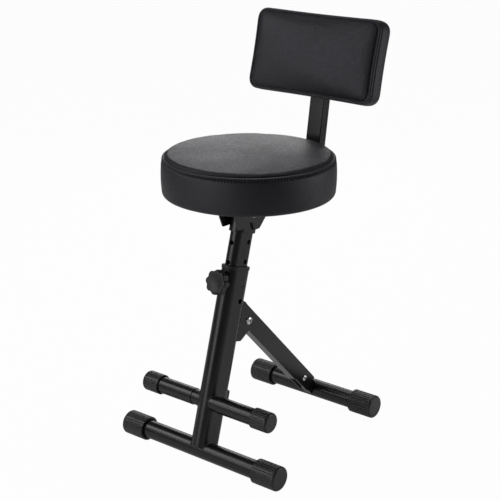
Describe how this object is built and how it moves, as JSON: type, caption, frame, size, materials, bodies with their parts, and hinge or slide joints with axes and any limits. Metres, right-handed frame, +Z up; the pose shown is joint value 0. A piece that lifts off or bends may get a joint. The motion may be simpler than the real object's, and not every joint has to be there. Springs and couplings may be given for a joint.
{
  "type": "folding guitar stool with backrest",
  "caption": "Folding player's stool: round padded seat on a height-adjustable leaning post, padded backrest, footrest bar and hinged rear leg with rubber feet.",
  "frame": {"origin": "bottom centre of the bounding box, on the floor between the feet", "axes": "+Z up, +Y towards the back (the backrest side), +X to the seated player's left"},
  "size_m": [0.372, 0.42, 0.7913],
  "materials": {
    "satin_black_steel": "satin black powder coat",
    "black_rubber": "ribbed matt rubber",
    "black_plastic": "moulded black plastic",
    "bright_zinc": "bright zinc plate",
    "black_leather": "fine-grained black imitation leather over foam",
    "plywood": "plywood stained black"
  },
  "bodies": {
    "frame": {"fold_rest": "satin_black_steel", "footrest_cap_left": "black_rubber", "footrest_cap_right": "black_rubber", "footrest_stub": "satin_black_steel", "footrest_tube_left": "satin_black_steel", "footrest_tube_right": "satin_black_steel", "front_base_tube": "satin_black_steel", "front_foot_left": "black_rubber", "front_foot_right": "black_rubber", "guide_bush": "black_plastic", "hinge_bolt": "bright_zinc", "hinge_ear_left": "satin_black_steel", "hinge_ear_right": "satin_black_steel", "hinge_nut": "bright_zinc", "knob_boss": "satin_black_steel", "leg_tube": "satin_black_steel"},
    "seat": {"arm_bolt_front": "bright_zinc", "arm_bolt_rear": "bright_zinc", "arm_nut_front": "bright_zinc", "arm_nut_rear": "bright_zinc", "arm_plug": "black_plastic", "backrest_board": "plywood", "backrest_pad": "black_leather", "backrest_post": "satin_black_steel", "backrest_post_cap": "black_plastic", "backrest_screw_lower": "bright_zinc", "backrest_screw_upper": "bright_zinc", "post_glide": "black_plastic", "seat_board": "plywood", "seat_cheek_left": "satin_black_steel", "seat_cheek_right": "satin_black_steel", "seat_pad": "black_leather", "seat_plate": "satin_black_steel", "seat_post": "satin_black_steel", "seat_screw_front_left": "bright_zinc", "seat_screw_front_right": "bright_zinc", "seat_screw_rear_left": "bright_zinc", "seat_screw_rear_right": "bright_zinc", "seat_socket": "satin_black_steel", "socket_bolt": "bright_zinc", "socket_nut": "bright_zinc"},
    "rear_leg": {"rear_strut": "satin_black_steel", "pivot_spacer": "satin_black_steel", "rear_base_tube": "satin_black_steel", "rear_lug": "satin_black_steel", "rear_foot_left": "black_rubber", "rear_foot_right": "black_rubber", "strut_bolt": "bright_zinc", "strut_nut": "bright_zinc"},
    "clamp_stud": {"knob_stud": "bright_zinc"},
    "knob": {"height_knob": "black_plastic"}
  },
  "joints": [
    {"name": "height_slide", "type": "slide", "parent": "frame", "child": "seat", "axis": [0, 0.2756, 0.9613], "range_m": [-0.037, 0.111]},
    {"name": "rear_leg_fold", "type": "hinge", "parent": "frame", "child": "rear_leg", "pos_m": [0, -0.06298, 0.24636], "axis": [-1, 0, 0], "range_deg": [0, 60.03]},
    {"name": "stud_travel", "type": "slide", "parent": "frame", "child": "clamp_stud", "axis": [0, -0.9613, 0.2756], "range_m": [0, 0.00376]},
    {"name": "knob_turn", "type": "hinge", "parent": "clamp_stud", "child": "knob", "pos_m": [0, -0.12242, 0.33654], "axis": [0, -0.9613, 0.2756], "range_deg": [0, 1080]}
  ],
  "couplings": [
    {"joint": "stud_travel", "follows": "knob_turn", "m_per_rad": 0.00019894}
  ]
}
